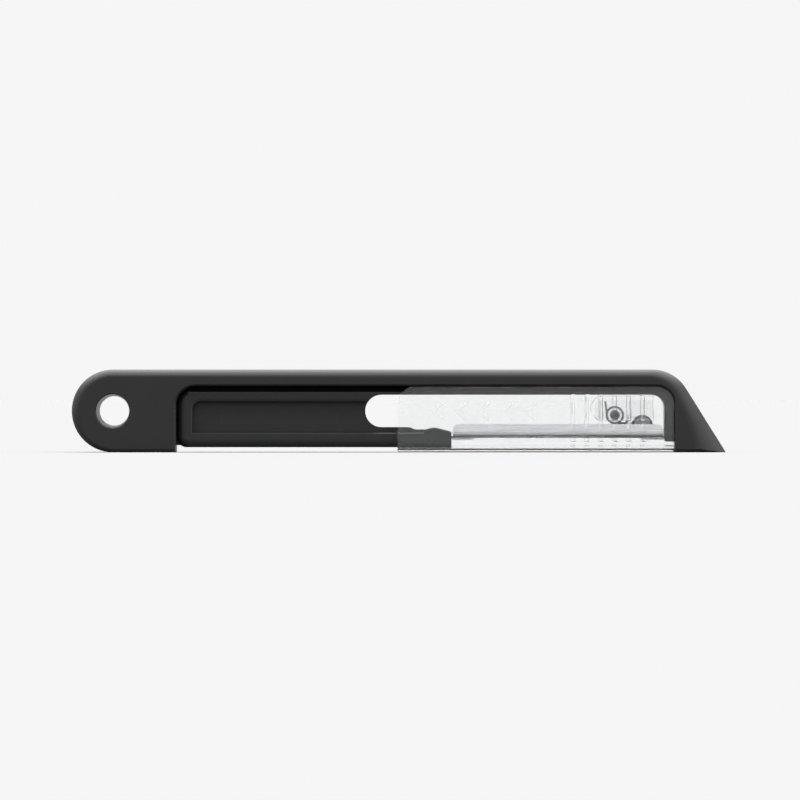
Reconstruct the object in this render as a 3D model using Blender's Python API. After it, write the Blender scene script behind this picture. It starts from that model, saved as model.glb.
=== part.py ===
"""Straight utility peeler knife with a sliding clear blade guard that carries a sprung honing unit.

+X runs from the hanging end to the nose, +Z is up and -Y is the front. The knife stands on its lower edge.
Sizes are in millimetres and are multiplied by MM where a mesh is made.
"""

import math

import bmesh
import bpy
import numpy as np

MM = 0.001

# moulded body
LENGTH = 196.6
HEIGHT = 24.84
THICKNESS = 14.0
NOSE_SLOPE_DEG = 32.1  # the nose leans back this far from upright
NOSE_SHOULDER_R = 12.0
TOP_EDGE_R = 2.6
BOTTOM_EDGE_R = 1.2
# the slanted edge curves back over a width that grows towards the tip, at these heights
NOSE_CURVE_AT = (16.0, 13.0, 10.0, 7.0)
NOSE_CURVE_WIDTH = (4.2, 4.6, 5.2, 6.2, 8.0)
NOSE_CURVE_DEPTH = (3.0, 3.2, 3.4, 3.7, 4.0)
NOSE_CURVE_FOOT = 13.5  # the lower edge thins from here to the tip
HANG_HOLE_R = 5.0
HANG_HOLE_NECK_R = 4.43
HANG_HOLE_NECK_FROM_BACK = 1.4
HANG_HOLE_BACK_R = 4.8
HANG_HOLE_LEAD_IN = 0.3

# open bay between the hanging end and the nose
HANGING_END = 31.3
NOSE_LENGTH = 15.5
SPINE = 4.8
BAY_LEFT_CORNER_R = 5.8
BAY_RIGHT_CORNER_R = 5.5
BAY_LIP = 0.45

# web that fills the bay, the rail along its top and the pocket in each face
WEB_HALF = 5.0
WEB_BOTTOM = 1.5
WEB_EDGE_R = 0.5
WEB_BOTTOM_EDGE_R = 2.4
WINDOW_EDGE_R = 0.8
STRIP_EDGE_R = 0.3
SHOULDER_EDGE_R = 2.8
SHOULDER_WIDTH = 3.9
RAIL_HALF = 0.8
RAIL_FOOT_HALF = 3.0
END_CORE_HALF = 1.2
GROOVE_HEIGHT = 1.84
GROOVE_AT_END = 0.3
ROOT = 0.6  # how far one moulded feature runs into the next
POCKET_FROM_WEB_END = 4.9
POCKET_FROM_BAR_END = 8.4
POCKET_BOTTOM = 5.85
POCKET_BELOW_WEB_TOP = 3.3
POCKET_TOP_CORNER_R = 2.2
POCKET_DEPTH = 2.8
POCKET_TOP_LIP = 1.5
POCKET_END_LIP = 0.7
POCKET_BOTTOM_LIP = 0.35
POCKET_LIP_DEPTH = 1.2
EJECTOR_R = 3.0
EJECTOR_DEPTH = 0.15
EJECTOR_INSET = 5.5
EJECTOR_Z = 10.0

# window, the bar under it and the margin beside the nose
WINDOW_BOTTOM = 7.55
WINDOW_STRIP = 0.92  # web left above the window
WINDOW_CORNER_R = 3.8
BAR_UNDER_WINDOW = 25.95
BAR_END_TOP = 5.9
BAR_DIP = 0.7
BAR_DIP_HALF = 1.25
BAR_DIP_FROM_END = 9.35
BAR_PEAK_DROP = 0.12
BAR_PEAK_FROM_END = 5.2
MARGIN = 3.0
MARGIN_BOTTOM = 3.2
MARGIN_CORNER_R = 0.8

# blade and its pivot pins
BLADE_LENGTH = 63.2
END_GAP = 0.4
SWING_GAP = 1.1  # between the blade and the guard's wall, taken up when the blade tips
BLADE_TOP = 8.43
BLADE_STRAIGHT_TO = 6.3
BLADE_FLOOR = 3.7
BLADE_WALL = 0.55
BLADE_CORNER_R = 2.0
BLADE_FLAT_HALF = 2.7  # half width of the shallow part of the trough
END_TAB = 5.95
SLOT_HALF = 2.2
SLOT_CHAMFER = 0.6
END_WALL = 0.6
END_WALL_DROP = 1.23
PIVOT_Z = 4.8
PIVOT_PIN_R = 0.7
PIVOT_PIN_IN_BODY = 2.6
PIVOT_PIN_IN_BLADE = 1.0
PIN_END_GAP = 0.4
TURNING_GAP = 0.1
PRESS_GAP = 0.03

# clear guard
GUARD_LENGTH = 82.93
GUARD_GAP = 0.3
GUARD_WALL = 1.4
GUARD_BOTTOM = 0.2
GUARD_CORNER_R = 2.5
GUARD_INNER_CORNER_R = 0.8
GUARD_END_R = 5.3
LIP_THICKNESS = 1.2
LIP_REACH = 1.7
LIP_NICK = 0.3
LIP_FROM_END = 4.5
RIB_FIRST_FROM_NOSE = 30.1
RIB_PITCH = 4.2
RIB_COUNT = 6
RIB_WIDTH = 1.5
RIB_HEIGHT = 0.25
RIB_BOTTOM = 3.0
RIB_BELOW_TOP = 2.15
MARK_FROM_END = 10.26
MARK_PITCH = 7.0
MARK_COUNT = 5
MARK_Z = 12.2
MARK_SPAN = 5.0
MARK_STROKE = 1.1
MARK_HEIGHT = 0.2

# honing unit in the guard
HOUSING_LENGTH = 19.0
HOUSING_FROM_NOSE = 5.9
HOUSING_GAP = 0.4
HOUSING_OVER_BLADE = 1.07
HOUSING_WALL = 1.4
HOUSING_EDGE_R = 0.4
ARM_PIVOT_FROM_NOSE = 17.6
ARM_PIVOT_Z = 11.2
ARM_PIN_R = 1.4
ARM_PIN_SHORT = 0.2
ARM_HUB_R = 2.0
HUB_GAP = 0.55
ARM_HALF = 0.7
ARM_BOSS_R = 1.5
ARM_REACH = 8.3
ARM_FALL = 3.1
DISC_R = 3.15
DISC_FACE_R = 2.5
DISC_THICKNESS = 1.1
DISC_GAP = 0.15
AXLE_R = 0.6
AXLE_PROUD = 0.15
WIRE_R = 0.3
COIL_R = 2.45
COIL_PITCH = 0.64
COIL_SIDE_GAP = 0.21
COIL_CLEAR_OF_ARM = 0.25
FIRST_LEG_LEAN = 0.45
FIRST_LEG_GAP = 0.2
SECOND_LEG = 3.6
SECOND_LEG_RISE = 1.15
STUD_FROM_PIVOT = 2.5
STUD_R = 0.4
STUD_GAP = 0.15
STUD_LENGTH = 1.3
LUG_R = 1.2

# places that follow from the sizes above
HALF = THICKNESS / 2
END_R = HEIGHT / 2
TIP = LENGTH / 2
BAY_LEFT = HANGING_END - TIP
BAY_RIGHT = TIP - NOSE_LENGTH
BAY_TOP = HEIGHT - SPINE
WEB_LEFT = BAY_LEFT + GROOVE_AT_END
WEB_TOP = BAY_TOP - GROOVE_HEIGHT
# the web's top edge meets the bay's rounded right corner here
CORNER_OVER_WEB = BAY_RIGHT_CORNER_R - GROOVE_HEIGHT
WEB_TOP_RIGHT = BAY_RIGHT - BAY_RIGHT_CORNER_R + math.sqrt(BAY_RIGHT_CORNER_R**2 - CORNER_OVER_WEB**2)
SHOULDER_RIGHT = WEB_LEFT + SHOULDER_WIDTH
WINDOW_TOP = WEB_TOP - WINDOW_STRIP
WINDOW_R = (WINDOW_TOP - WINDOW_BOTTOM) / 2
WINDOW_RIGHT = BAY_RIGHT - MARGIN
BLADE_RIGHT = WINDOW_RIGHT - END_GAP
BLADE_LEFT = BLADE_RIGHT - BLADE_LENGTH
BLADE_MIDDLE = (BLADE_LEFT + BLADE_RIGHT) / 2
BAR_RIGHT = BLADE_LEFT - END_GAP
WINDOW_LEFT = BAR_RIGHT - BAR_UNDER_WINDOW
POCKET_LEFT = WEB_LEFT + POCKET_FROM_WEB_END
POCKET_RIGHT = BAR_RIGHT - POCKET_FROM_BAR_END
POCKET_TOP = WEB_TOP - POCKET_BELOW_WEB_TOP
GUARD_INNER = WEB_HALF + GUARD_GAP
GUARD_OUTER = GUARD_INNER + GUARD_WALL
GUARD_RIGHT = BAY_RIGHT - GUARD_GAP
GUARD_LEFT = GUARD_RIGHT - GUARD_LENGTH
GUARD_TOP = BAY_TOP - GUARD_GAP
LIP_UNDERSIDE = GUARD_TOP - LIP_THICKNESS
BLADE_HALF = GUARD_INNER - SWING_GAP
HOUSING_RIGHT = GUARD_RIGHT - HOUSING_FROM_NOSE
HOUSING_LEFT = HOUSING_RIGHT - HOUSING_LENGTH
HOUSING_BOTTOM = BLADE_TOP + HOUSING_OVER_BLADE
HOUSING_TOP = WINDOW_TOP - GUARD_GAP
HOUSING_HALF = GUARD_INNER - HOUSING_GAP
CHEEK = HOUSING_HALF - HOUSING_WALL
ARM_PIVOT = (GUARD_RIGHT - ARM_PIVOT_FROM_NOSE, ARM_PIVOT_Z)
ARM_PIN_HALF = HOUSING_HALF - ARM_PIN_SHORT
ARM_HUB_HALF = CHEEK - HUB_GAP
DISC_CENTRE = (ARM_PIVOT[0] + ARM_REACH, ARM_PIVOT_Z - ARM_FALL)
COIL_BACK = ARM_HALF + COIL_CLEAR_OF_ARM + WIRE_R
COIL_ROOM = CHEEK - COIL_SIDE_GAP - WIRE_R - COIL_BACK
COIL_TURNS = 0.25 + int(COIL_ROOM / COIL_PITCH - 0.25)
STUD_AT = (ARM_PIVOT[0] + STUD_FROM_PIVOT, ARM_PIVOT_Z - COIL_R - WIRE_R - STUD_GAP - STUD_R)


# plane outlines

def arc(centre, radius, start_deg, end_deg, pieces):
    """Points along a circular arc, both ends included."""
    angles = np.radians(np.linspace(start_deg, end_deg, pieces + 1))
    return [(centre[0] + radius * math.cos(a), centre[1] + radius * math.sin(a)) for a in angles]


def circle(centre, radius, pieces):
    return arc(centre, radius, 0, 360, pieces)[:-1]


def inset(outline, distances):
    """The outline with each side moved inwards; distances[i] is for the side after point i."""
    points = np.array(outline, float)
    after = np.roll(points, -1, 0) - points
    after /= np.linalg.norm(after, axis=1)[:, None]
    inward = np.stack([-after[:, 1], after[:, 0]], 1)
    moved = []
    for i, point in enumerate(points):
        before, this = inward[i - 1], inward[i]
        a, b = distances[i - 1], distances[i]
        turn = before[0] * this[1] - before[1] * this[0]
        if abs(turn) < 0.35:
            mean = before + this
            mean = mean / mean.dot(mean) * 2
            moved.append(point + mean * (a + b) / 2)
        else:
            shift = np.linalg.solve(np.array([before, this]), np.array([a, b]))
            moved.append(point + shift)
    return moved


# meshes

def new_object(name, points, faces):
    mesh = bpy.data.meshes.new(name)
    mesh.from_pydata([tuple(float(c) * MM for c in p) for p in points], [], faces)
    mesh.validate()
    work = bmesh.new()
    work.from_mesh(mesh)
    bmesh.ops.recalc_face_normals(work, faces=work.faces)
    if work.calc_volume(signed=True) < 0:
        bmesh.ops.reverse_faces(work, faces=work.faces)
    work.to_mesh(mesh)
    work.free()
    obj = bpy.data.objects.new(name, mesh)
    bpy.context.scene.collection.objects.link(obj)
    return obj


def stack(name, rings):
    """A closed body through equal-length rings of points, with a flat cap on the first and the last."""
    count = len(rings[0])
    points = [p for ring in rings for p in ring]
    faces = [tuple(range(count)), tuple((len(rings) - 1) * count + i for i in reversed(range(count)))]
    for k in range(len(rings) - 1):
        for i in range(count):
            a, b = k * count + i, k * count + (i + 1) % count
            faces.append((a, a + count, b + count, b))
    return new_object(name, points, faces)


def slab(name, outline, y_from, y_to):
    """An outline in the XZ plane, made solid from one Y to the other."""
    return stack(name, [[(x, y, z) for x, z in outline] for y in (y_from, y_to)])


def bar_of(name, section, x_from, x_to):
    """A section in the YZ plane, made solid from one X to the other."""
    return stack(name, [[(x, y, z) for y, z in section] for x in (x_from, x_to)])


def soft_slab(name, outline, widths, half, steps, depths=None):
    """A slab whose two faces meet its sides in rounded edges; widths[i] is for the side after point i.
    An edge is a quarter circle, or a quarter ellipse where depths gives its extent in Y at each point."""
    widths = np.array(widths, float)
    if depths is None:
        depths = (widths + np.roll(widths, 1)) / 2
    rings = []
    for k in range(steps + 1):
        turn = math.pi / 2 * (1 - k / steps)
        flat = inset(outline, widths * (1 - math.cos(turn)))
        rings.append([(x, -half + depth * (1 - math.sin(turn)), z) for (x, z), depth in zip(flat, depths)])
    rings += [[(x, -y, z) for x, y, z in ring] for ring in reversed(rings)]
    return stack(name, rings)


def flared_slab(name, outline, half, lip, reach):
    """A slab that widens at 45 degrees near each face of a body of this half thickness; it cuts a lip."""
    wide = inset(outline, [-(lip + reach)] * len(outline))
    rings = [[(x, -half - reach, z) for x, z in wide], [(x, -half + lip, z) for x, z in outline]]
    rings += [[(x, -y, z) for x, y, z in ring] for ring in reversed(rings)]
    return stack(name, rings)


def turned(name, profile, centre, pieces):
    """A solid turned about the Y axis through centre, from (y, radius) pairs."""
    rings = [[(x, y, z) for x, z in circle(centre, r, pieces)] for y, r in profile]
    return stack(name, rings)


def rod_x(name, radius, x_from, x_to, z, pieces):
    return bar_of(name, circle((0, z), radius, pieces), x_from, x_to)


def wire(name, path, radius, sides):
    """A round wire along a path, its cross-section carried along without twist."""
    path = np.array(path, float)
    along = np.gradient(path, axis=0)
    along /= np.linalg.norm(along, axis=1)[:, None]
    across = np.cross(along[0], [0.3, 1, 0.2])
    rings = []
    for point, way in zip(path, along):
        across = across - way * across.dot(way)
        across /= np.linalg.norm(across)
        other = np.cross(way, across)
        turns = np.arange(sides) / sides * 2 * math.pi
        rings.append([point + radius * (math.cos(t) * across + math.sin(t) * other) for t in turns])
    return stack(name, rings)


def combine(target, tool, operation):
    """Joins the tool to the target, cuts it away or keeps what both share; the tool is used up."""
    modifier = target.modifiers.new(operation, "BOOLEAN")
    modifier.operation = operation
    modifier.solver = "EXACT"
    modifier.object = tool
    graph = bpy.context.evaluated_depsgraph_get()
    result = bpy.data.meshes.new_from_object(target.evaluated_get(graph))
    target.modifiers.clear()
    target.data = result
    bpy.data.objects.remove(tool)
    return target


def cut(target, tool):
    return combine(target, tool, "DIFFERENCE")


def join(target, tool):
    return combine(target, tool, "UNION")


def painted(obj, name, colour, roughness, metallic=0.0, clear=0.0):
    material = bpy.data.materials.new(name)
    material.use_nodes = True
    shader = material.node_tree.nodes["Principled BSDF"]
    shader.inputs["Base Color"].default_value = (*colour, 1)
    shader.inputs["Roughness"].default_value = roughness
    shader.inputs["Metallic"].default_value = metallic
    shader.inputs["Transmission Weight"].default_value = clear
    obj.data.materials.clear()
    obj.data.materials.append(material)
    return obj


def turning_about(obj, x, y, z):
    """Puts the object's origin on its joint's axis without moving the piece."""
    spot = np.array([x, y, z]) * MM
    for vertex in obj.data.vertices:
        vertex.co = [vertex.co[i] - spot[i] for i in range(3)]
    obj.location = spot
    return obj


# moulded body

def body_outline():
    """The body seen from the front, with the edge radius that follows each point."""
    slope = math.radians(NOSE_SLOPE_DEG)
    centre = (-TIP + END_R, END_R)
    shoulder_z = HEIGHT - NOSE_SHOULDER_R
    # the slanted line from the tip touches the shoulder's circle
    shoulder_x = TIP - shoulder_z * math.tan(slope) - NOSE_SHOULDER_R / math.cos(slope)
    end = arc(centre, END_R, 270, 90, 30)
    shoulder = arc((shoulder_x, shoulder_z), NOSE_SHOULDER_R, 90, NOSE_SLOPE_DEG, 12)
    slant = [(TIP - z * math.tan(slope), z) for z in NOSE_CURVE_AT]
    outline = end + shoulder + slant + [(TIP, 0.0), (TIP - NOSE_CURVE_FOOT, 0.0)]
    grow = TOP_EDGE_R - BOTTOM_EDGE_R
    widths = [BOTTOM_EDGE_R + grow * min(1, 2 * i / len(end)) for i in range(len(end))]
    widen = np.linspace(TOP_EDGE_R, NOSE_CURVE_WIDTH[0], len(shoulder) + 1)
    deepen = np.linspace(TOP_EDGE_R, NOSE_CURVE_DEPTH[0], len(shoulder) + 1)
    depths = widths + list(deepen[1:]) + list(NOSE_CURVE_DEPTH[1:]) + [NOSE_CURVE_DEPTH[-1], BOTTOM_EDGE_R]
    widths += list(widen[1:]) + list(NOSE_CURVE_WIDTH[1:]) + [BOTTOM_EDGE_R, BOTTOM_EDGE_R]
    # sides run anticlockwise, so the list and the side after each point are turned round together
    return outline[::-1], widths[::-1][1:] + widths[-1:], depths[::-1]


def bay_cutter():
    left, right = BAY_LEFT + BAY_LEFT_CORNER_R, BAY_RIGHT - BAY_RIGHT_CORNER_R
    outline = [(BAY_LEFT, -5.0), (BAY_RIGHT, -5.0)]
    outline += arc((right, BAY_TOP - BAY_RIGHT_CORNER_R), BAY_RIGHT_CORNER_R, 0, 90, 8)
    outline += arc((left, BAY_TOP - BAY_LEFT_CORNER_R), BAY_LEFT_CORNER_R, 90, 180, 8)
    return flared_slab("bay", outline, HALF, BAY_LIP, 1.0)


def bar_top():
    """The bar's upper edge from the window to its free end: a shallow dip, a peak and a ramp."""
    dip_x, dip_z = BAR_RIGHT - BAR_DIP_FROM_END, WINDOW_BOTTOM - BAR_DIP
    peak_x, peak_z = BAR_RIGHT - BAR_PEAK_FROM_END, WINDOW_BOTTOM - BAR_PEAK_DROP
    near, far = BAR_DIP_HALF, 2 * BAR_DIP_HALF
    points = [(dip_x - far - 1.0, WINDOW_BOTTOM), (dip_x - far - 0.35, WINDOW_BOTTOM - 0.12)]
    points += [(dip_x - near - 0.7, dip_z + 0.1), (dip_x - near, dip_z)]
    points += [(dip_x + near, dip_z), (dip_x + near + 0.7, dip_z + 0.1)]
    points += [(peak_x - 0.7, peak_z - 0.08), (peak_x, peak_z), (peak_x + 0.7, peak_z - 0.1)]
    points += [(BAR_RIGHT - 0.9, BAR_END_TOP + 0.55), (BAR_RIGHT - 0.3, BAR_END_TOP + 0.3)]
    return points + [(BAR_RIGHT, BAR_END_TOP)]


def web():
    """The web round the window, open below where the blade hangs."""
    into_nose, corner_z = BAY_RIGHT + ROOT, BAY_TOP - BAY_RIGHT_CORNER_R
    middle = WINDOW_BOTTOM + WINDOW_R
    bar = bar_top()[::-1]
    window = arc((WINDOW_LEFT + WINDOW_R, middle), WINDOW_R, 270, 90, 18)
    corner = (WINDOW_RIGHT - WINDOW_CORNER_R, WINDOW_TOP - WINDOW_CORNER_R)
    square_end = arc(corner, WINDOW_CORNER_R, 90, 0, 8)
    window += square_end
    margin_corner = (WINDOW_RIGHT + MARGIN_CORNER_R, MARGIN_BOTTOM + MARGIN_CORNER_R)
    margin = arc(margin_corner, MARGIN_CORNER_R, 180, 270, 4)
    outline = [(SHOULDER_RIGHT - ROOT, WEB_BOTTOM), (BAR_RIGHT, WEB_BOTTOM)] + bar + window + margin
    outline += [(into_nose, MARGIN_BOTTOM), (into_nose, corner_z), (WEB_TOP_RIGHT + ROOT, WEB_TOP)]
    outline += [(SHOULDER_RIGHT - ROOT, WEB_TOP)]
    round_end = np.linspace(WINDOW_EDGE_R, STRIP_EDGE_R, len(window) - len(square_end))
    widths = [WEB_BOTTOM_EDGE_R] + [WEB_EDGE_R] * len(bar) + list(round_end)
    widths += list(np.linspace(STRIP_EDGE_R, WEB_EDGE_R, len(square_end)))
    widths += [WEB_EDGE_R] * (len(margin) + 2) + [WEB_EDGE_R, WEB_EDGE_R, 0.0]
    return soft_slab("web", outline, widths, WEB_HALF, 4)


def web_shoulder():
    """The web's left end, which rolls away into the bay's end and its rounded corner."""
    radius = BAY_LEFT_CORNER_R - GROOVE_AT_END
    centre = (BAY_LEFT + BAY_LEFT_CORNER_R, BAY_TOP - BAY_LEFT_CORNER_R)
    low, past = WEB_BOTTOM + SHOULDER_EDGE_R, centre[0] + 2 * SHOULDER_EDGE_R
    outline = [(past, WEB_BOTTOM), (past, centre[1] + radius)] + arc(centre, radius, 90, 180, 12)
    outline += arc((WEB_LEFT + SHOULDER_EDGE_R, low), SHOULDER_EDGE_R, 180, 270, 8)
    widths = [0.0] + [SHOULDER_EDGE_R] * (len(outline) - 2) + [WEB_BOTTOM_EDGE_R]
    shoulder = soft_slab("shoulder", outline, widths, WEB_HALF, 6)
    beyond = [(SHOULDER_RIGHT, 0.0), (past + 1, 0.0), (past + 1, HEIGHT), (SHOULDER_RIGHT, HEIGHT)]
    return cut(shoulder, slab("beyond", beyond, -HALF, HALF))


def rail():
    """The core over the web, which thins upwards and leaves the deep groove that the guard's lips run in."""
    low, high = WEB_TOP - ROOT, BAY_TOP + ROOT
    section = [(-RAIL_FOOT_HALF, low), (RAIL_FOOT_HALF, low), (RAIL_FOOT_HALF, WEB_TOP), (RAIL_HALF, BAY_TOP)]
    section += [(RAIL_HALF, high), (-RAIL_HALF, high), (-RAIL_HALF, BAY_TOP), (-RAIL_FOOT_HALF, WEB_TOP)]
    return bar_of("rail", section, SHOULDER_RIGHT - ROOT, WEB_TOP_RIGHT + ROOT)


def end_core():
    """The thin core behind the web's left end."""
    left, right, low, high = BAY_LEFT - ROOT, SHOULDER_RIGHT, WEB_BOTTOM + ROOT, BAY_TOP + ROOT
    outline = [(left, low), (right, low), (right, high), (left, high)]
    return slab("end_core", outline, -END_CORE_HALF, END_CORE_HALF)


def pocket_cutter(side):
    """A pocket in one face of the web, its lip rounded over and broadest along the top."""
    r, floor = POCKET_TOP_CORNER_R, WEB_HALF - POCKET_DEPTH
    top_left = arc((POCKET_LEFT + r, POCKET_TOP - r), r, 90, 180, 8)
    outline = [(POCKET_LEFT, POCKET_BOTTOM), (POCKET_RIGHT, POCKET_BOTTOM), (POCKET_RIGHT, POCKET_TOP)]
    outline += top_left
    round_over = np.linspace(POCKET_TOP_LIP, POCKET_END_LIP, len(top_left))
    lips = np.array([POCKET_BOTTOM_LIP, POCKET_BOTTOM_LIP, POCKET_TOP_LIP, *round_over])
    rings = [[(x, side * floor, z) for x, z in outline]]
    for k in range(6):
        turn = math.pi / 2 * k / 5
        y = WEB_HALF - POCKET_LIP_DEPTH * (1 - math.sin(turn))
        rings.append([(x, side * y, z) for x, z in inset(outline, -lips * (1 - math.cos(turn)))])
    rings.append([(x, side * (WEB_HALF + 1), z) for x, z in inset(outline, -lips - 0.3)])
    return stack("pocket", rings)


def make_body():
    outline, widths, depths = body_outline()
    body = soft_slab("body_frame", outline, widths, HALF, 7, depths)
    cut(body, bay_cutter())
    for feature in (web(), web_shoulder(), rail(), end_core()):
        join(body, feature)
    for side in (-1, 1):
        cut(body, pocket_cutter(side))
    floor = WEB_HALF - POCKET_DEPTH
    for x in (POCKET_LEFT + EJECTOR_INSET, WINDOW_LEFT - EJECTOR_INSET):
        mark = circle((x, EJECTOR_Z), EJECTOR_R, 24)
        cut(body, slab("ejector", mark, -floor - 1, -floor + EJECTOR_DEPTH))
    lead, neck = HANG_HOLE_LEAD_IN, HALF - HANG_HOLE_NECK_FROM_BACK
    hole = [(-HALF - 1, HANG_HOLE_R + lead + 1), (-HALF + lead, HANG_HOLE_R), (neck, HANG_HOLE_NECK_R)]
    hole += [(HALF - lead, HANG_HOLE_BACK_R), (HALF + 1, HANG_HOLE_BACK_R + lead + 1)]
    cut(body, turned("hang_hole", hole, (-TIP + END_R, END_R), 40))
    bore = PIVOT_PIN_R + TURNING_GAP
    deep = PIVOT_PIN_IN_BODY + PIN_END_GAP
    cut(body, rod_x("tail_bore", bore, BAR_RIGHT - deep, BAR_RIGHT + 1, PIVOT_Z, 20))
    cut(body, rod_x("nose_bore", bore, WINDOW_RIGHT - 1, WINDOW_RIGHT + deep, PIVOT_Z, 20))
    painted(body, "charcoal_moulding", (0.040, 0.040, 0.041), 0.42)


# blade

def trough_section(half, floor, corner, top):
    """A rounded trough seen from its end, as (y, z), open edges at this top."""
    side = [(half, top), (half, BLADE_STRAIGHT_TO), (half - 0.04 * half, BLADE_STRAIGHT_TO - 0.75)]
    side += [(half - 0.14 * half, BLADE_STRAIGHT_TO - 1.35), (corner, floor + 0.72)]
    side += [(corner * 0.45, floor + 0.2)]
    return side + [(0.0, floor)] + [(-y, z) for y, z in reversed(side)]


def make_blade():
    """A pressed trough with a long slot in its floor, whose edges peel, and a low wall across each end."""
    inner, above = BLADE_HALF - BLADE_WALL, BLADE_TOP + 2
    section = trough_section(BLADE_HALF, BLADE_FLOOR, BLADE_FLAT_HALF, BLADE_TOP + 1)
    blade = bar_of("peeler_blade", section, BLADE_LEFT, BLADE_RIGHT)
    hollow = trough_section(inner, BLADE_FLOOR + BLADE_WALL, BLADE_FLAT_HALF - 0.7 * BLADE_WALL, above)
    cut(blade, bar_of("hollow", hollow, BLADE_LEFT + END_WALL, BLADE_RIGHT - END_WALL))
    low = BLADE_TOP - END_WALL_DROP
    over = [(-inner, low), (inner, low), (inner, above), (-inner, above)]
    cut(blade, bar_of("over_ends", over, BLADE_LEFT - 1, BLADE_RIGHT + 1))
    r = BLADE_CORNER_R
    side = [(BLADE_LEFT - 1, BLADE_FLOOR - 1), (BLADE_RIGHT + 1, BLADE_FLOOR - 1)]
    side += [(BLADE_RIGHT + 1, BLADE_TOP - r)] + arc((BLADE_RIGHT - r, BLADE_TOP - r), r, 0, 90, 8)
    side += arc((BLADE_LEFT + r, BLADE_TOP - r), r, 90, 180, 8) + [(BLADE_LEFT - 1, BLADE_TOP - r)]
    combine(blade, slab("side_shape", side, -BLADE_HALF - 1, BLADE_HALF + 1), "INTERSECT")
    start, end, chamfer = BLADE_LEFT + END_TAB, BLADE_RIGHT - END_TAB, SLOT_CHAMFER
    slot = [(start, chamfer - SLOT_HALF), (start + chamfer, -SLOT_HALF)]
    slot += [(end - chamfer, -SLOT_HALF), (end, chamfer - SLOT_HALF)]
    slot += [(x, -y) for x, y in reversed(slot)]
    slot_rings = [[(x, y, z) for x, y in slot] for z in (BLADE_FLOOR - 1, BLADE_STRAIGHT_TO - 0.4)]
    cut(blade, stack("slot", slot_rings))
    bore = PIVOT_PIN_R + PRESS_GAP
    cut(blade, rod_x("tail_hole", bore, BLADE_LEFT - 1, BLADE_LEFT + END_WALL + 1, PIVOT_Z, 20))
    cut(blade, rod_x("nose_hole", bore, BLADE_RIGHT - END_WALL - 1, BLADE_RIGHT + 1, PIVOT_Z, 20))
    painted(blade, "blade_steel", (0.70, 0.70, 0.71), 0.25, metallic=1.0)
    turning_about(blade, BLADE_MIDDLE, 0, PIVOT_Z)


def make_pivot_pins():
    """Two short pins in line, one into the bar's end and one into the margin beside the nose."""
    reach_in, reach_out = PIVOT_PIN_IN_BLADE, END_GAP + PIVOT_PIN_IN_BODY
    tail = rod_x("tail_pivot_pin", PIVOT_PIN_R, BLADE_LEFT - reach_out, BLADE_LEFT + reach_in, PIVOT_Z, 20)
    nose = rod_x("nose_pivot_pin", PIVOT_PIN_R, BLADE_RIGHT - reach_in, BLADE_RIGHT + reach_out, PIVOT_Z, 20)
    for pin in (tail, nose):
        painted(pin, pin.name, (0.55, 0.55, 0.56), 0.3, metallic=1.0)
        turning_about(pin, BLADE_MIDDLE, 0, PIVOT_Z)


# clear guard

def guard_section():
    """The guard seen from its end: a U that wraps the lower edge, with a lip turned in along each top."""
    outer, inner, lip = GUARD_OUTER, GUARD_INNER, GUARD_INNER - LIP_REACH
    floor = WEB_BOTTOM - GUARD_GAP
    outer_r, inner_r, nick = GUARD_CORNER_R, GUARD_INNER_CORNER_R, LIP_NICK
    half = arc((outer - outer_r, GUARD_BOTTOM + outer_r), outer_r, 270, 360, 8)
    half += [(outer, GUARD_TOP - nick), (outer - nick, GUARD_TOP)]
    half += [(lip + nick, GUARD_TOP), (lip, GUARD_TOP - nick)]
    half += [(lip, LIP_UNDERSIDE), (inner, LIP_UNDERSIDE)]
    half += arc((inner - inner_r, floor + inner_r), inner_r, 0, -90, 5)
    return half + [(-y, z) for y, z in reversed(half)]


def grip_rib(x, side):
    """One upright rib on the guard's outside, with sloping flanks."""
    half, top = RIB_WIDTH / 2, side * (GUARD_OUTER + RIB_HEIGHT)
    root = side * (GUARD_OUTER - 0.3)
    low, high = RIB_BOTTOM, GUARD_TOP - RIB_BELOW_TOP
    foot = [(x - half, root, low), (x + half, root, low), (x + half, root, high), (x - half, root, high)]
    inn = RIB_HEIGHT + 0.1
    face = [(x - half + inn, top, low + inn), (x + half - inn, top, low + inn)]
    face += [(x + half - inn, top, high - inn), (x - half + inn, top, high - inn)]
    return stack("rib", [foot, face])


def slide_mark(x):
    """A raised chevron that points the way the guard slides open."""
    high, stroke, lean = MARK_SPAN / 2, MARK_STROKE, MARK_SPAN / 2
    low, top = MARK_Z - high, MARK_Z + high
    outline = [(x, MARK_Z), (x + lean, low), (x + lean + stroke, low), (x + stroke, MARK_Z)]
    outline += [(x + lean + stroke, top), (x + lean, top)]
    return slab("mark", outline, -GUARD_OUTER - MARK_HEIGHT, -GUARD_OUTER + 0.3)


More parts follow.
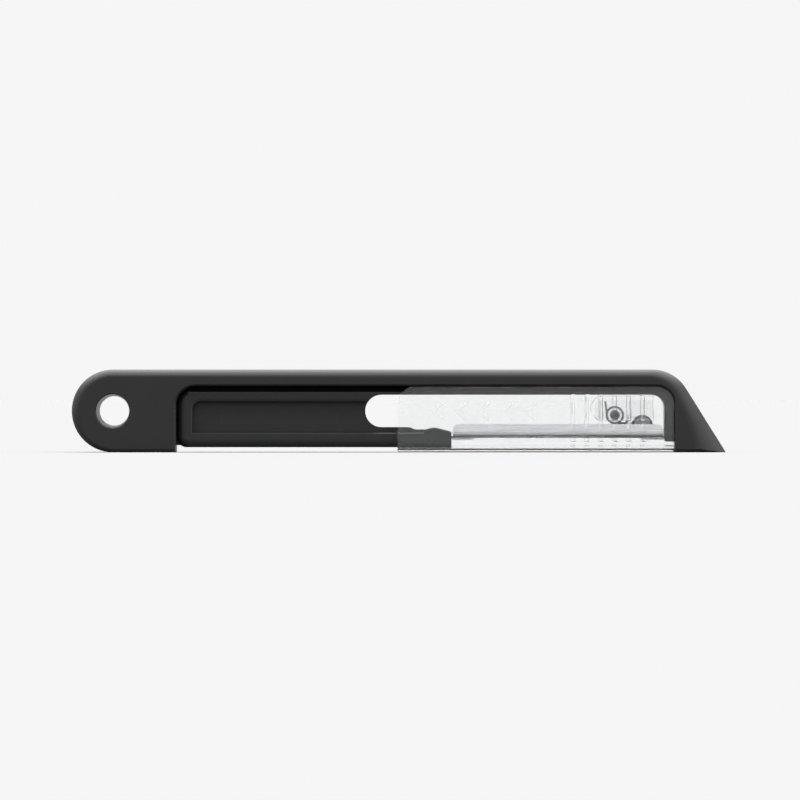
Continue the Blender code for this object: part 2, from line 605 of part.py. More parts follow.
def make_guard():
    guard = bar_of("guard_shell", guard_section(), GUARD_LEFT, GUARD_RIGHT)
    r, low = GUARD_END_R, GUARD_BOTTOM - 1
    side = [(GUARD_LEFT - 1, low), (GUARD_RIGHT + 1, low), (GUARD_RIGHT + 1, GUARD_TOP - r)]
    side += arc((GUARD_RIGHT - r, GUARD_TOP - r), r, 0, 90, 8)
    side += arc((GUARD_LEFT + r, GUARD_TOP - r), r, 90, 180, 8) + [(GUARD_LEFT - 1, GUARD_TOP - r)]
    combine(guard, slab("side_shape", side, -HALF - 1, HALF + 1), "INTERSECT")
    low, high = LIP_UNDERSIDE - ROOT, GUARD_TOP + 1
    between = [(-GUARD_INNER, low), (GUARD_INNER, low), (GUARD_INNER, high), (-GUARD_INNER, high)]
    cut(guard, bar_of("beyond_lip", between, GUARD_LEFT - 1, GUARD_LEFT + LIP_FROM_END))
    cut(guard, bar_of("beyond_lip", between, GUARD_RIGHT - LIP_FROM_END, GUARD_RIGHT + 1))
    for number in range(RIB_COUNT):
        for face in (-1, 1):
            join(guard, grip_rib(GUARD_RIGHT - RIB_FIRST_FROM_NOSE + number * RIB_PITCH, face))
    for number in range(MARK_COUNT):
        join(guard, slide_mark(GUARD_LEFT + MARK_FROM_END + number * MARK_PITCH))
    painted(guard, "clear_guard", (0.93, 0.94, 0.94), 0.08, clear=0.9)


# honing unit

def make_housing():
    """A clear block open below and towards the nose; its rounded end nests in the window's."""
    r = (HOUSING_TOP - HOUSING_BOTTOM) / 2
    middle = HOUSING_BOTTOM + r
    wall = HOUSING_WALL
    outline = arc((HOUSING_LEFT + r, middle), r, 90, 270, 18)
    outline += [(HOUSING_RIGHT, HOUSING_BOTTOM), (HOUSING_RIGHT, HOUSING_TOP)]
    housing = soft_slab("sharpener_housing", outline, [HOUSING_EDGE_R] * len(outline), HOUSING_HALF, 2)
    inner = r - wall
    hollow = arc((HOUSING_LEFT + r, middle), inner, 90, 180, 9)
    hollow += [(HOUSING_LEFT + wall, HOUSING_BOTTOM - 1), (HOUSING_RIGHT + 1, HOUSING_BOTTOM - 1)]
    hollow += [(HOUSING_RIGHT + 1, HOUSING_TOP - wall)]
    cut(housing, slab("hollow", hollow, -CHEEK, CHEEK))
    bore = circle(ARM_PIVOT, ARM_PIN_R + PRESS_GAP, 28)
    cut(housing, slab("bore", bore, -HOUSING_HALF - 1, HOUSING_HALF + 1))
    painted(housing, "clear_housing", (0.92, 0.93, 0.93), 0.12, clear=0.9)


def make_arm():
    """The clear lever that carries the honing discs, turning on the pin in the housing."""
    px, pz = ARM_PIVOT
    dx, dz = DISC_CENTRE
    toward = math.degrees(math.atan2(dz - pz, dx - px))
    plate = arc(ARM_PIVOT, ARM_HUB_R - 0.15, toward + 90, toward + 270, 14)
    plate += arc(DISC_CENTRE, ARM_BOSS_R, toward - 90, toward + 90, 10)
    arm = slab("sharpener_arm", plate, -ARM_HALF, ARM_HALF)
    join(arm, slab("hub", circle(ARM_PIVOT, ARM_HUB_R, 28), -ARM_HUB_HALF, ARM_HUB_HALF))
    join(arm, slab("lug", circle(STUD_AT, LUG_R, 16), 0.1 - ARM_HALF, ARM_HALF - 0.1))
    join(arm, slab("stud", circle(STUD_AT, STUD_R, 12), -ARM_HALF - STUD_LENGTH, 0))
    bore = circle(ARM_PIVOT, ARM_PIN_R + TURNING_GAP, 28)
    axle_bore = circle(DISC_CENTRE, AXLE_R + TURNING_GAP, 20)
    cut(arm, slab("bore", bore, -ARM_HUB_HALF - 1, ARM_HUB_HALF + 1))
    cut(arm, slab("axle_bore", axle_bore, -ARM_HALF - 1, ARM_HALF + 1))
    painted(arm, "clear_arm", (0.90, 0.91, 0.91), 0.15, clear=0.8)
    turning_about(arm, px, 0, pz)


def make_arm_pin():
    pin = slab("arm_pivot_pin", circle(ARM_PIVOT, ARM_PIN_R, 28), -ARM_PIN_HALF, ARM_PIN_HALF)
    painted(pin, "pin_steel", (0.30, 0.30, 0.31), 0.35, metallic=1.0)


def make_discs():
    """Two honing discs with bevelled rims, one on each side of the arm, pressed on one axle."""
    near, far = ARM_HALF + DISC_GAP, ARM_HALF + DISC_GAP + DISC_THICKNESS
    bevel = DISC_R - DISC_FACE_R
    for name, side in (("front_honing_disc", -1), ("rear_honing_disc", 1)):
        profile = [(side * near, DISC_R), (side * (far - bevel), DISC_R), (side * far, DISC_FACE_R)]
        disc = turned(name, profile, DISC_CENTRE, 40)
        cut(disc, slab("bore", circle(DISC_CENTRE, AXLE_R + PRESS_GAP, 20), -HALF, HALF))
        painted(disc, name, (0.16, 0.16, 0.17), 0.5)
        turning_about(disc, DISC_CENTRE[0], 0, DISC_CENTRE[1])
    half = far + AXLE_PROUD
    axle = slab("disc_axle", circle(DISC_CENTRE, AXLE_R, 20), -half, half)
    painted(axle, "axle_steel", (0.50, 0.50, 0.51), 0.3, metallic=1.0)
    turning_about(axle, DISC_CENTRE[0], 0, DISC_CENTRE[1])


def make_spring():
    """A torsion spring round the front of the arm's hub; its legs bear on the housing and the arm's stud."""
    px, pz = ARM_PIVOT
    spread, steps = COIL_PITCH * COIL_TURNS, 54
    front = -COIL_BACK - spread
    coil = []
    for k in range(steps + 1):
        angle = math.radians(180 + COIL_TURNS * 360 * k / steps)
        y = front + spread * k / steps
        coil.append((px + COIL_R * math.cos(angle), y, pz + COIL_R * math.sin(angle)))
    # the first leg stops just under the roof, or under the rounded end where that reaches further
    tip_x, round_r = px - COIL_R - FIRST_LEG_LEAN, (HOUSING_TOP - HOUSING_BOTTOM) / 2
    inside_r = round_r - HOUSING_WALL
    past = max(0.0, HOUSING_LEFT + round_r - (tip_x - WIRE_R))
    top = HOUSING_BOTTOM + round_r + math.sqrt(inside_r**2 - past**2) - FIRST_LEG_GAP
    first = [(tip_x, front, top), (px - COIL_R - FIRST_LEG_LEAN / 3, front, pz + 1.2)]
    end, foot, low = px + SECOND_LEG, -COIL_BACK, pz - COIL_R
    last = [(end - 0.5, foot, low), (end, foot, low + 0.4), (end, foot, low + SECOND_LEG_RISE)]
    spring = wire("torsion_spring", first + coil + last, WIRE_R, 8)
    painted(spring, "spring_steel", (0.32, 0.32, 0.33), 0.3, metallic=1.0)


def main():
    for obj in list(bpy.data.objects):
        bpy.data.objects.remove(obj)
    make_body()
    make_blade()
    make_pivot_pins()
    make_guard()
    make_housing()
    make_arm_pin()
    make_arm()
    make_discs()
    make_spring()


main()
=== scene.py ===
import math

import bmesh
import bpy
import numpy as np
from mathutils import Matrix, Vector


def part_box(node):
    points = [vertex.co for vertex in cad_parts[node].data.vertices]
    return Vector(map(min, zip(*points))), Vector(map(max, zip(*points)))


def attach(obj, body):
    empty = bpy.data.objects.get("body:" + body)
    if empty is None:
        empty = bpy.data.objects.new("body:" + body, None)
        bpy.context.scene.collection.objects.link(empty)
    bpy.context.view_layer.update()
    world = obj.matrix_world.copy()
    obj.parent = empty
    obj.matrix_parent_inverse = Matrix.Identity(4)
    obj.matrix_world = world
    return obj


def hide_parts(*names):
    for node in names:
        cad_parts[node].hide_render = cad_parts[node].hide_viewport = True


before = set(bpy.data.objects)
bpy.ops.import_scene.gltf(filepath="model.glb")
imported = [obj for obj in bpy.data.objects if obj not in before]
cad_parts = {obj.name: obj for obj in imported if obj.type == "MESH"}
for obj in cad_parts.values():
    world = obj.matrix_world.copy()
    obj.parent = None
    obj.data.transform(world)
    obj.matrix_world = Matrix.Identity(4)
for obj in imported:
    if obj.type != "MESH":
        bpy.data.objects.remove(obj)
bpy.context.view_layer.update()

MM = 0.001

# Camera. It stands two metres away and looks straight at the front face, level with the upper half of the
# knife, through a long lens.
CAMERA_X, CAMERA_Z, CAMERA_AWAY = 0.32 * MM, 15.7 * MM, 2007 * MM
camera_data = bpy.data.cameras.new("camera")
camera_data.lens = 300.0
camera_data.sensor_width = 36.0
camera_data.clip_start = 0.05
camera_data.clip_end = 500.0
camera = bpy.data.objects.new("camera", camera_data)
camera.location = (CAMERA_X, -CAMERA_AWAY, CAMERA_Z)
camera.rotation_euler = (math.pi / 2, 0, 0)
bpy.context.scene.collection.objects.link(camera)
bpy.context.scene.camera = camera
bpy.context.scene.view_settings.view_transform = "Standard"

# Surround. A pale paper floor that runs out to the horizon, in a white studio with a wide soft light overhead
# and a weaker one at each end. The paper is lit to just the brightness of the walls, so no line shows where
# the two meet.
WALL_LIGHT = 0.92
SOFT_LIGHTS = (  # direction, cosine off its middle where it starts and where it is full, strength
    ((0.0, 0.03, 1.0), 0.45, 0.95, 8.5),
    ((0.75, -0.5, 0.35), 0.60, 0.95, 3.0),
    ((-0.8, -0.25, 0.45), 0.60, 0.95, 1.5),
)
FLOOR_REACH = 120.0
FLOOR_COLOUR, FLOOR_ROUGHNESS = 0.156, 0.9
SAME_PLACE = 1e-8
NOISE_SPREAD = (0.3, 0.7)  # nearly all of a noise pattern lies between these


def grid_mesh(name, points, closed_u=False, closed_v=False):
    """A surface through a grid of points of shape (rows, columns, 3). closed_u joins the last row to the
    first, closed_v the last column to the first. Points that coincide, as at a pole, are then made one."""
    rows, columns = points.shape[:2]
    number = np.arange(rows * columns).reshape(rows, columns)
    if closed_u:
        number = np.vstack([number, number[:1]])
    if closed_v:
        number = np.hstack([number, number[:, :1]])
    corners = [number[:-1, :-1], number[1:, :-1], number[1:, 1:], number[:-1, 1:]]
    mesh = bpy.data.meshes.new(name)
    mesh.from_pydata(points.reshape(-1, 3).tolist(), [], np.stack(corners, -1).reshape(-1, 4).tolist())
    work = bmesh.new()
    work.from_mesh(mesh)
    bmesh.ops.remove_doubles(work, verts=work.verts, dist=SAME_PLACE)
    bmesh.ops.recalc_face_normals(work, faces=work.faces)
    work.to_mesh(mesh)
    work.free()
    mesh.shade_smooth()
    obj = bpy.data.objects.new(name, mesh)
    bpy.context.scene.collection.objects.link(obj)
    return obj


def add(tree, kind, settings=None, **inputs):
    """Adds a shader node. An input is named by its label, or by an underscore and its number."""
    node = tree.nodes.new("ShaderNode" + kind)
    for key, value in (settings or {}).items():
        setattr(node, key, value)
    for key, value in inputs.items():
        socket = node.inputs[int(key[1:])] if key[1:].isdigit() else node.inputs[key.replace("_", " ")]
        if isinstance(value, bpy.types.NodeSocket):
            tree.links.new(value, socket)
        else:
            socket.default_value = value
    return node


def reckon(tree, operation, first, second):
    """One step of arithmetic on two numbers."""
    return add(tree, "Math", {"operation": operation}, _0=first, _1=second).outputs["Value"]


def new_material(name):
    """An empty material, with its node tree and its shader."""
    material = bpy.data.materials.new(name)
    material.use_nodes = True
    return material, material.node_tree, material.node_tree.nodes["Principled BSDF"]


floor_corners = FLOOR_REACH * np.array([[[-1, -1, 0], [-1, 1, 0]], [[1, -1, 0], [1, 1, 0]]], float)
floor = grid_mesh("floor", floor_corners)
paper, tree, shader = new_material("pale_paper")
shader.inputs["Base Color"].default_value = (FLOOR_COLOUR, FLOOR_COLOUR, FLOOR_COLOUR, 1)
shader.inputs["Roughness"].default_value = FLOOR_ROUGHNESS
shader.inputs["Specular IOR Level"].default_value = 0.0
floor.data.materials.append(paper)

studio = bpy.data.worlds.new("studio")
studio.use_nodes = True
tree = studio.node_tree
way = add(tree, "TexCoord").outputs["Generated"]
light = WALL_LIGHT
for direction, edge, full, strength in SOFT_LIGHTS:
    unit = tuple(np.array(direction) / np.linalg.norm(direction))
    toward = add(tree, "VectorMath", {"operation": "DOT_PRODUCT"}, _0=way, _1=unit).outputs["Value"]
    glow = add(tree, "MapRange", {"interpolation_type": "SMOOTHSTEP"}, Value=toward,
               From_Min=edge, From_Max=full, To_Min=0.0, To_Max=strength).outputs["Result"]
    light = reckon(tree, "ADD", glow, light)
background = tree.nodes["Background"]
background.inputs["Color"].default_value = (1, 1, 1, 1)
tree.links.new(light, background.inputs["Strength"])
bpy.context.scene.world = studio

# Body. One injection moulding in charcoal plastic, with the even satin that a spark-eroded mould gives. Its
# edges are a shade lighter where hands and drawers have rubbed them. Every other piece is fitted to it.
BODY_EDGE = 0.15 * MM
CHARCOAL, RUBBED_CHARCOAL = (0.0065, 0.0065, 0.0067), (0.024, 0.024, 0.0245)
CHARCOAL_SPECULAR = 0.19
RUBBED_WIDTH, RUBBED_MOST = 0.35 * MM, 0.5
EDGE_STARTS, EDGE_FULL = 0.99, 0.85  # cosine between the true surface and the surface with its edges rounded
RUBBED_PATCH, RUBBED_PATCH_SHARE = 3.0 * MM, (0.3, 1.0)
CLOUD, CLOUD_SHARE = 14.0 * MM, (0.0, 0.02)
SATIN_PATCH, SATIN_ROUGHNESS = 9.0 * MM, (0.37, 0.40)
SATIN_GRAIN, SATIN_DEPTH, SATIN_STRENGTH = 0.14 * MM, 0.010 * MM, 0.35
WELD = 0.002 * MM
FLAT_WITHIN, SHARP_OVER = math.radians(0.6), math.radians(32)


def mottle(tree, size, share=(0.0, 1.0), stretch=(1, 1, 1)):
    """Soft random patches about this size, spread evenly over the share; stretch draws them out along x, y
    and z."""
    place = add(tree, "TexCoord").outputs["Object"]
    drawn = add(tree, "Mapping", Vector=place, Scale=tuple(1 / s for s in stretch)).outputs["Vector"]
    noise = add(tree, "TexNoise", Vector=drawn, Scale=1 / size, Detail=2.0).outputs["Fac"]
    return add(tree, "MapRange", Value=noise, From_Min=NOISE_SPREAD[0], From_Max=NOISE_SPREAD[1],
               To_Min=share[0], To_Max=share[1]).outputs["Result"]


def between(tree, share, first, second):
    """A colour that goes from the first to the second as share goes from 0 to 1."""
    first, second = (c if isinstance(c, bpy.types.NodeSocket) else (*c, 1) for c in (first, second))
    return add(tree, "Mix", {"data_type": "RGBA"}, _0=share, _6=first, _7=second).outputs[2]


def finish(tree, shader, colour, roughness, height, strength, depth):
    """Gives a shader its colour, its roughness and a relief of this depth."""
    relief = add(tree, "Bump", Strength=strength, Distance=depth, Height=height)
    tree.links.new(colour, shader.inputs["Base Color"])
    tree.links.new(roughness, shader.inputs["Roughness"])
    tree.links.new(relief.outputs["Normal"], shader.inputs["Normal"])


def copy_of(node, name):
    """A copy of a solid with its loose triangles joined up and its flat areas made single faces."""
    obj = bpy.data.objects.new(name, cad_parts[node].data.copy())
    bpy.context.scene.collection.objects.link(obj)
    work = bmesh.new()
    work.from_mesh(obj.data)
    bmesh.ops.remove_doubles(work, verts=work.verts, dist=WELD)
    bmesh.ops.dissolve_limit(work, angle_limit=FLAT_WITHIN, verts=work.verts, edges=work.edges)
    work.to_mesh(obj.data)
    work.free()
    obj.data.materials.clear()
    return obj


def even_shading(obj):
    """Weights the shading at each corner by face area, so that flat areas stay flat."""
    obj.data.shade_smooth()
    obj.modifiers.new("weighted_normals", "WEIGHTED_NORMAL").keep_sharp = True


def round_edges(obj, width):
    """Rounds the sharp edges by this width."""
    bevel = obj.modifiers.new("rounded_edges", "BEVEL")
    bevel.width = width
    bevel.segments = 2
    bevel.limit_method = "ANGLE"
    bevel.angle_limit = SHARP_OVER
    even_shading(obj)


def stands_for(obj, material, body, slot, *nodes):
    """Gives a finished piece its material, the body it moves with, and the solids it takes the place of."""
    obj.data.materials.append(material)
    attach(obj, body)
    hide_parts(*nodes)


charcoal, tree, shader = new_material("charcoal_satin")
rounded = add(tree, "Bevel", {"samples": 4}, Radius=RUBBED_WIDTH).outputs["Normal"]
true = add(tree, "NewGeometry").outputs["Normal"]
agree = add(tree, "VectorMath", {"operation": "DOT_PRODUCT"}, _0=rounded, _1=true).outputs["Value"]
rubbed = add(tree, "MapRange", Value=agree, From_Min=EDGE_STARTS, From_Max=EDGE_FULL,
             To_Min=0.0, To_Max=RUBBED_MOST).outputs["Result"]
patchy = reckon(tree, "MULTIPLY", rubbed, mottle(tree, RUBBED_PATCH, RUBBED_PATCH_SHARE))
shade = reckon(tree, "ADD", patchy, mottle(tree, CLOUD, CLOUD_SHARE))
finish(tree, shader, between(tree, shade, CHARCOAL, RUBBED_CHARCOAL),
       mottle(tree, SATIN_PATCH, SATIN_ROUGHNESS), mottle(tree, SATIN_GRAIN), SATIN_STRENGTH, SATIN_DEPTH)
shader.inputs["Specular IOR Level"].default_value = CHARCOAL_SPECULAR

body = copy_of("body_frame", "body_moulding")
round_edges(body, BODY_EDGE)
stands_for(body, charcoal, "frame", "charcoal_moulding", "body_frame")

# Blade. A strip of stainless steel rolled into a trough, pierced along its floor and ground to two edges. The
# rolling leaves fine bright streaks along it. It hangs between the bar's end and the nose on two pins.
BLADE_EDGE = 0.06 * MM
BRIGHT_SHEET, DULL_SHEET = (0.74, 0.74, 0.745), (0.60, 0.605, 0.615)
SHEET_STREAK = 0.30 * MM
SHEET_GLOSS_STREAK, SHEET_ROUGHNESS = 0.22 * MM, (0.17, 0.29)
SHEET_GRAIN, SHEET_GRAIN_DEPTH = 0.12 * MM, 0.004 * MM
ROLLED = (60, 1, 1)  # the streaks are this much longer than they are wide
METAL_RELIEF = 0.3


def metal(name, bright, dull, patch, gloss_patch, roughness, grain, depth, marks=(1, 1, 1), share=(0.0, 1.0)):
    """Metal whose marks from rolling, turning or drawing show as bands of colour, gloss and height."""
    material, tree, shader = new_material(name)
    finish(tree, shader, between(tree, mottle(tree, patch, share, marks), bright, dull),
           mottle(tree, gloss_patch, roughness, marks), mottle(tree, grain, stretch=marks),
           METAL_RELIEF, depth)
    shader.inputs["Metallic"].default_value = 1.0
    return material


sheet = metal("rolled_sheet", BRIGHT_SHEET, DULL_SHEET, SHEET_STREAK, SHEET_GLOSS_STREAK, SHEET_ROUGHNESS,
              SHEET_GRAIN, SHEET_GRAIN_DEPTH, ROLLED)
blade = copy_of("peeler_blade", "blade_trough")
round_edges(blade, BLADE_EDGE)
stands_for(blade, sheet, "blade", "blade_steel", "peeler_blade")

# Pivot pins. Two short turned steel pins in line, pressed into the blade's end walls, one turning in the
# bar's end and one in the margin beside the nose.
PIN_ROUND = 0.15 * MM
TURNED_STEEL, TURNED_STEEL_DULL = (0.56, 0.56, 0.57), (0.42, 0.42, 0.43)
TURNED_BAND = 0.5 * MM
TURNED_GLOSS_BAND, TURNED_ROUGHNESS = 0.4 * MM, (0.22, 0.36)
TURNED_GRAIN, TURNED_GRAIN_DEPTH = 0.3 * MM, 0.006 * MM
TURNED_X, TURNED_Y = (0.12, 1, 1), (1, 0.12, 1)  # the tool's marks run round the pin, and are narrow along it


def turned(name, profile, centre, axis, closed=False, around=72):
    """A profile turned about an axis. For the profile's point (t, r) and the angle a, the surface's point is
    centre + t * axis + r * (cos a * side + sin a * up), where axis, side and up are at right angles."""
    along, side, up = np.roll(np.eye(3), -axis, axis=0)
    t, r = np.asarray(profile, float).T
    a = np.linspace(0, 2 * np.pi, around, endpoint=False)
    ring = np.cos(a)[:, None] * side + np.sin(a)[:, None] * up
    points = np.asarray(centre) + t[:, None, None] * along + r[:, None, None] * ring
    obj = grid_mesh(name, points, closed_u=closed, closed_v=True)
    even_shading(obj)
    return obj


def pin_profile(half, radius, round_over):
    """A plain pin whose ends are rounded over by a quarter circle, from one end's middle to the other's."""
    q = np.linspace(0, np.pi / 2, 7)
    t, r = half - round_over * (1 - np.cos(q)), radius - round_over * (1 - np.sin(q))
    tail, head = np.stack([-t, r], -1), np.stack([t, r], -1)[::-1]
    return np.vstack([[(-half, 0)], tail, head, [(half, 0)]])


def pin_in(node, name, axis):
    """A pin that fills a solid's box, lying along this axis."""
    low, high = np.array(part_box(node))
    half = (high - low) / 2
    return turned(name, pin_profile(half[axis], half[(axis + 1) % 3], PIN_ROUND), (low + high) / 2, axis)


def turned_steel(name, bright, dull, marks):
    """Steel with the fine bands that a lathe tool leaves."""
    return metal(name, bright, dull, TURNED_BAND, TURNED_GLOSS_BAND, TURNED_ROUGHNESS, TURNED_GRAIN,
                 TURNED_GRAIN_DEPTH, marks)


pivot_steel = turned_steel("turned_pivot_steel", TURNED_STEEL, TURNED_STEEL_DULL, TURNED_X)
for node, name in (("tail_pivot_pin", "tail_pin"), ("nose_pivot_pin", "nose_pin")):
    stands_for(pin_in(node, name, 0), pivot_steel, "blade", "pin_steel", node)

# Guard. One U-shaped moulding in polished clear polycarbonate, snapped over the body so that the lip along
# each of its top edges runs in the groove under the spine. It has six finger ribs and five raised chevrons.
CLEAR_EDGE = 0.08 * MM
CLEAR, CLEAR_TINT, TINT_PATCH = (0.975, 0.978, 0.978), (0.955, 0.962, 0.964), 11.0 * MM
CLEAR_IOR = 1.45
HAZE_PATCH, GUARD_HAZE = 4.0 * MM, (0.015, 0.05)
RIPPLE, RIPPLE_DEPTH, RIPPLE_STRENGTH = 7.0 * MM, 0.02 * MM, 0.15
RIPPLE_FLOW = (2.5, 1, 1)  # drawn out lengthways, as the plastic flowed


def clear_plastic(name, haze):
    """Clear plastic with a faint flow ripple from the mould and gloss that comes and goes with handling."""
    material, tree, shader = new_material(name)
    finish(tree, shader, between(tree, mottle(tree, TINT_PATCH), CLEAR, CLEAR_TINT),
           mottle(tree, HAZE_PATCH, haze), mottle(tree, RIPPLE, stretch=RIPPLE_FLOW),
           RIPPLE_STRENGTH, RIPPLE_DEPTH)
    shader.inputs["Transmission Weight"].default_value = 1.0
    shader.inputs["IOR"].default_value = CLEAR_IOR
    return material


guard_clear = clear_plastic("clear_polycarbonate", GUARD_HAZE)
guard = copy_of("guard_shell", "guard_moulding")
round_edges(guard, CLEAR_EDGE)
stands_for(guard, guard_clear, "guard", "clear_guard", "guard_shell")

# Sharpener housing. A small clear moulding with two cheeks and a roof, welded inside the guard over the
# blade's far end, so that it travels with the guard.
HOUSING_HAZE = (0.02, 0.06)
housing_clear = clear_plastic("clear_housing_plastic", HOUSING_HAZE)
housing = copy_of("sharpener_housing", "housing_moulding")
round_edges(housing, CLEAR_EDGE)
stands_for(housing, housing_clear, "guard", "clear_housing", "sharpener_housing")

# Arm pin. A blackened steel pin, turned on a lathe and pressed through both cheeks of the housing. The arm
# turns on it, inside the coil of the spring.
BLACKENED, BLACKENED_RUBBED = (0.055, 0.055, 0.058), (0.11, 0.11, 0.112)
arm_pin_steel = turned_steel("blackened_steel", BLACKENED, BLACKENED_RUBBED, TURNED_Y)
stands_for(pin_in("arm_pivot_pin", "arm_pin", 1), arm_pin_steel, "guard", "pin_steel", "arm_pivot_pin")

# Sharpener arm. A lever moulded in the housing's clear plastic, with a hub that turns on the arm pin, a stud
# for the spring and a boss at its far end for the discs' axle.
arm = copy_of("sharpener_arm", "arm_moulding")
round_edges(arm, CLEAR_EDGE)
stands_for(arm, housing_clear, "arm", "clear_housing", "sharpener_arm")

# Honing discs. Two hard discs of sintered grit with bevelled rims, faced on a lathe, one on each side of the
# arm, pressed on a steel axle that turns in the arm's boss.
DISC_BEVEL, DISC_BORE, DISC_ROUND = 0.65 * MM, 0.63 * MM, 0.06 * MM
CORNER_SHARE = 0.7  # a rounded corner's middle ring lies this share of the rounding from its ends
DISC_FACE, DISC_RIM, DISC_PORE = (0.34, 0.34, 0.345), (0.045, 0.045, 0.048), (0.10, 0.10, 0.105)
FACE_ENDS_WITHIN = 0.05 * MM
PORE, PORE_SHARE = 0.18 * MM, (-0.4, 0.8)
GRIT_PATCH, GRIT_ROUGHNESS = 0.25 * MM, (0.28, 0.44)
GRIT, GRIT_SHARE = 0.10 * MM, (0.0, 0.8)
FACING_PITCH, FACING_DEPTH = 0.22 * MM, 0.03 * MM
GRIT_METAL = 0.8


def sintered_grit(centre, face_r):
    """Grit with pores. Its face has fine concentric grooves: height goes as the sine of the distance from the
    axis; outside the face's radius it is the darker rim."""
    material, tree, shader = new_material("sintered_grit")
    place = add(tree, "TexCoord").outputs["Object"]
    offset = add(tree, "VectorMath", {"operation": "SUBTRACT"}, _0=place, _1=tuple(centre)).outputs["Vector"]
    across = add(tree, "VectorMath", {"operation": "MULTIPLY"}, _0=offset, _1=(1, 0, 1)).outputs["Vector"]
    out = add(tree, "VectorMath", {"operation": "LENGTH"}, _0=across).outputs["Value"]
    rim = add(tree, "MapRange", Value=out, From_Min=face_r - FACE_ENDS_WITHIN,
              From_Max=face_r + FACE_ENDS_WITHIN).outputs["Result"]
    pored = between(tree, mottle(tree, PORE, PORE_SHARE), DISC_FACE, DISC_PORE)
    groove = add(tree, "Math", {"operation": "SINE"},
                 _0=reckon(tree, "MULTIPLY", out, 2 * math.pi / FACING_PITCH)).outputs["Value"]
    finish(tree, shader, between(tree, rim, pored, DISC_RIM), mottle(tree, GRIT_PATCH, GRIT_ROUGHNESS),
           reckon(tree, "ADD", groove, mottle(tree, GRIT, GRIT_SHARE)), 1.0, FACING_DEPTH)
    shader.inputs["Metallic"].default_value = GRIT_METAL
    return material


disc_low, disc_high = np.array(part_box("front_honing_disc"))
disc_r, disc_half = (disc_high[0] - disc_low[0]) / 2, (disc_high[1] - disc_low[1]) / 2
corner = CORNER_SHARE * DISC_ROUND
disc_profile = np.array([
    (-disc_half, DISC_BORE),
    (-disc_half, disc_r - DISC_ROUND),
    (-disc_half + DISC_ROUND, disc_r),
    (disc_half - DISC_BEVEL - DISC_ROUND, disc_r),
    (disc_half - DISC_BEVEL + corner, disc_r - corner),
    (disc_half - corner, disc_r - DISC_BEVEL + corner),
    (disc_half, disc_r - DISC_BEVEL - DISC_ROUND),
    (disc_half, DISC_BORE),
])
disc_grit = sintered_grit((disc_low + disc_high) / 2, disc_r - DISC_BEVEL)
for node, name, outward in (("front_honing_disc", "front_disc", -1), ("rear_honing_disc", "rear_disc", 1)):
    middle = np.array(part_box(node)).mean(axis=0)
    disc = turned(name, disc_profile * (outward, 1), middle, 1, closed=True)
    stands_for(disc, disc_grit, "discs", "honing_ceramic", node)

axle_steel = turned_steel("turned_axle_steel", TURNED_STEEL, TURNED_STEEL_DULL, TURNED_Y)
stands_for(pin_in("disc_axle", "axle", 1), axle_steel, "discs", "pin_steel", "disc_axle")

# Torsion spring. Dark drawn steel wire wound two and a quarter turns round the arm's hub. One leg bears on
# the housing's wall; the other is bent up over the arm's stud and turns with it, drawing the coil tighter, so
# its root runs out of the coil's end.
WIRE_R, WIRE_SIDES = 0.3 * MM, 20
COIL_R, COIL_TURNS = 2.45 * MM, 2.25
COIL_REAR, COIL_SPREAD = 1.25 * MM, 1.44 * MM  # how far in front of the arm's middle it ends, and its depth
LEG_OVERLAP, LEG_NECK = 0.072, 0.85  # turns of the coil that hide the leg's root, and how thin that root is
FIRST_LEG_LEAN, FIRST_LEG_BEND, FIRST_LEG_SHORT = 0.45 * MM, 1.6 * MM, 0.05 * MM
SECOND_LEG, SECOND_LEG_RISE, SECOND_LEG_BEND = 3.6 * MM, 1.15 * MM, 0.5 * MM
CUT_END, CUT_RINGS = 0.4, 4  # a cut end's rounding is this share of the wire's radius
COIL_POINTS, ROOT_POINTS, FIRST_LEG_POINTS, SECOND_LEG_POINTS = 181, 14, 24, 10
DRAWN_WIRE, DRAWN_WIRE_BRIGHT = (0.085, 0.085, 0.088), (0.17, 0.17, 0.175)
WIRE_PATCH, WIRE_PATCH_SHARE = 0.35 * MM, (-0.3, 1.0)
WIRE_GLOSS_PATCH, WIRE_ROUGHNESS = 0.5 * MM, (0.24, 0.38)
WIRE_GRAIN, WIRE_GRAIN_DEPTH = 0.08 * MM, 0.004 * MM

pin_x, _, pin_z = np.array(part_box("arm_pivot_pin")).mean(axis=0)
spring_top = np.array(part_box("torsion_spring"))[1, 2]


def bend(start, corner, end, steps):
    """A smooth bend from start to end that leaves and arrives in line with the corner: for s from 0 to 1,
    (1-s)(1-s) start + 2s(1-s) corner + s s end."""
    s = np.linspace(0, 1, steps)[:, None]
    return (1 - s) ** 2 * np.array(start) + 2 * s * (1 - s) * np.array(corner) + s**2 * np.array(end)


def round_coil(turns):
    """Points of the coil at these numbers of turns from its front end: a circle that moves back evenly."""
    angle = math.pi + 2 * math.pi * turns
    deep = COIL_REAR + COIL_SPREAD * (1 - turns / COIL_TURNS)
    return np.stack([pin_x + COIL_R * np.cos(angle), -deep, pin_z + COIL_R * np.sin(angle)], -1)


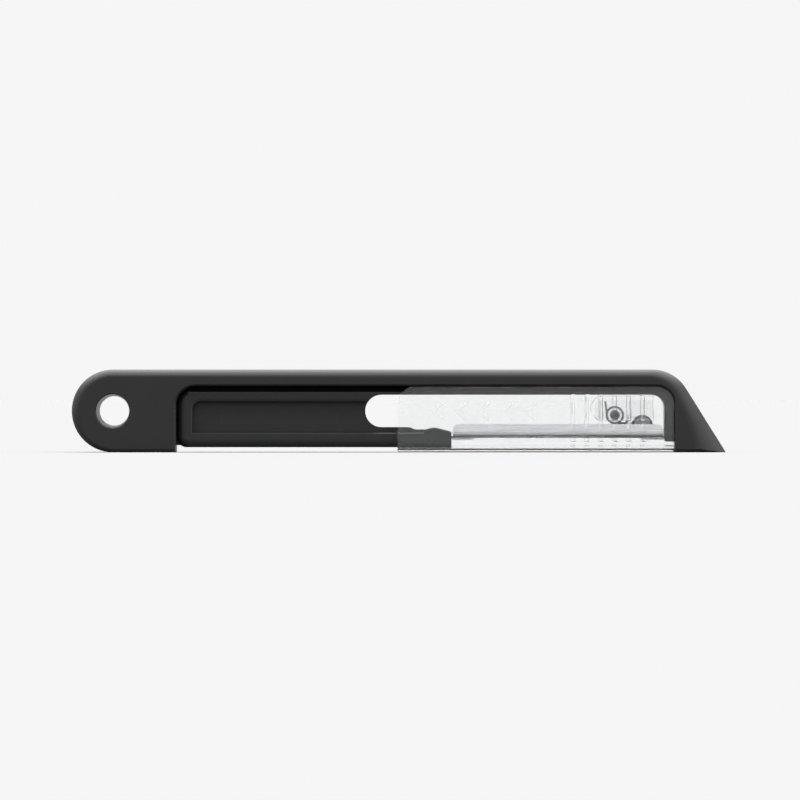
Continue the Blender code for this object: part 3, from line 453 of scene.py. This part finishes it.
def wire_along(name, path, radius):
    """Round wire carried along a path that never runs straight front to back. At each point the circle lies
    square to the path; its end rings shrink over a quarter circle to close it."""
    radius = np.broadcast_to(radius, len(path))
    q = np.linspace(0, np.pi / 2, CUT_RINGS + 1)[:-1]
    along = np.gradient(path, axis=0)
    along /= np.linalg.norm(along, axis=1)[:, None]
    inward = (CUT_END * (1 - np.cos(q)))[:, None]
    start_cap = path[0] + along[0] * inward * radius[0]
    end_cap = (path[-1] - along[-1] * inward * radius[-1])[::-1]
    spine = np.vstack([start_cap, path[1:-1], end_cap])
    direction = np.vstack([np.repeat(along[:1], len(q), 0), along[1:-1], np.repeat(along[-1:], len(q), 0)])
    thick = np.concatenate([radius[0] * np.sin(q), radius[1:-1], radius[-1] * np.sin(q)[::-1]])
    side = np.cross(direction, (0, 1, 0))
    side /= np.linalg.norm(side, axis=1)[:, None]
    up = np.cross(side, direction)
    a = np.linspace(0, 2 * np.pi, WIRE_SIDES, endpoint=False)
    ring = np.cos(a)[None, :, None] * side[:, None] + np.sin(a)[None, :, None] * up[:, None]
    return grid_mesh(name, spine[:, None] + thick[:, None, None] * ring, closed_v=True)


left, front = pin_x - COIL_R, -COIL_REAR - COIL_SPREAD
first_leg = bend((left - FIRST_LEG_LEAN, front, spring_top - FIRST_LEG_SHORT),
                 (left, front, pin_z + FIRST_LEG_BEND), (left, front, pin_z), FIRST_LEG_POINTS)
coil = round_coil(np.linspace(0, COIL_TURNS, COIL_POINTS))
spring = wire_along("spring_coil", np.vstack([first_leg[:-1], coil]), WIRE_R)

leg_x, rear, foot = pin_x + SECOND_LEG, -COIL_REAR, pin_z - COIL_R
root = round_coil(np.linspace(COIL_TURNS - LEG_OVERLAP, COIL_TURNS, ROOT_POINTS))
second_leg = bend((leg_x - SECOND_LEG_BEND, rear, foot), (leg_x, rear, foot),
                  (leg_x, rear, foot + SECOND_LEG_BEND), SECOND_LEG_POINTS)
leg_path = np.vstack([root, second_leg, [(leg_x, rear, foot + SECOND_LEG_RISE)]])
leg_radius = np.where(np.arange(len(leg_path)) < ROOT_POINTS - 1, LEG_NECK * WIRE_R, WIRE_R)
spring_leg = wire_along("spring_leg", leg_path, leg_radius)

drawn_wire = metal("drawn_wire", DRAWN_WIRE, DRAWN_WIRE_BRIGHT, WIRE_PATCH, WIRE_GLOSS_PATCH, WIRE_ROUGHNESS,
                   WIRE_GRAIN, WIRE_GRAIN_DEPTH, share=WIRE_PATCH_SHARE)
stands_for(spring, drawn_wire, "guard", "spring_steel", "torsion_spring")
spring_leg.data.materials.append(drawn_wire)
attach(spring_leg, "arm")
